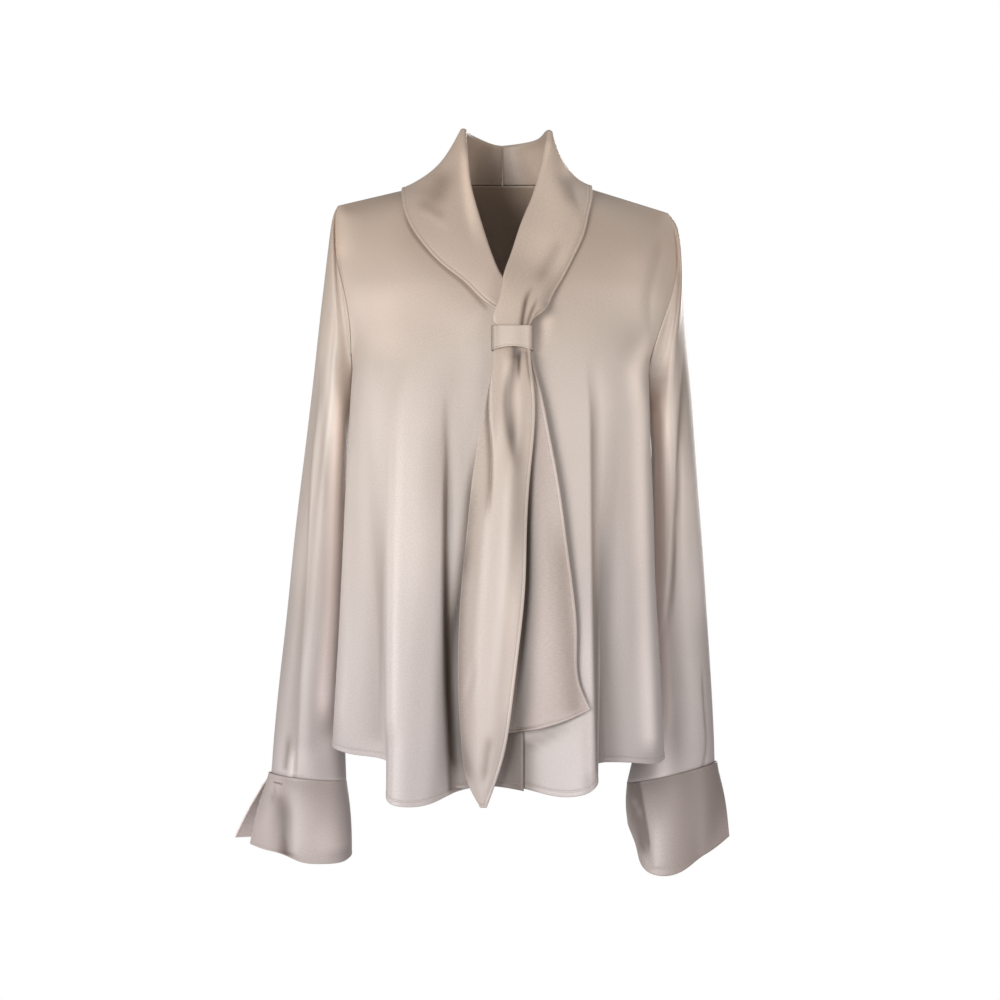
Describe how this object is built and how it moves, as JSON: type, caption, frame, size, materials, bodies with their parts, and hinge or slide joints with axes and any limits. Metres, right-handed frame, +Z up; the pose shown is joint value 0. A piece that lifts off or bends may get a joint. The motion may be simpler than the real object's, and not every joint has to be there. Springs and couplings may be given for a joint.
{
  "type": "blouse",
  "caption": "Long-sleeved satin blouse with a rolled shawl collar whose ends pass through a loop and hang as flat ties, and open flared cuffs.",
  "frame": {"origin": "middle of the neck, at the height where the shoulder seams meet the collar", "axes": "+Z up, from the hem to the collar; the front faces -Y; the wearer's left is +X"},
  "size_m": [0.5477, 0.3038, 0.8209],
  "materials": {
    "satin": "satin",
    "tie_satin": "satin",
    "button": "gloss"
  },
  "bodies": {
    "root": {"back": "satin", "front_right": "satin", "front_left": "satin", "sleeve_right": "satin", "sleeve_left": "satin", "cuff_right": "satin", "cuff_left": "satin", "collar_tie_right": "tie_satin", "collar_tie_left": "tie_satin", "keeper": "tie_satin", "cuff_button_right": "button", "cuff_button_left": "button"}
  },
  "joints": []
}
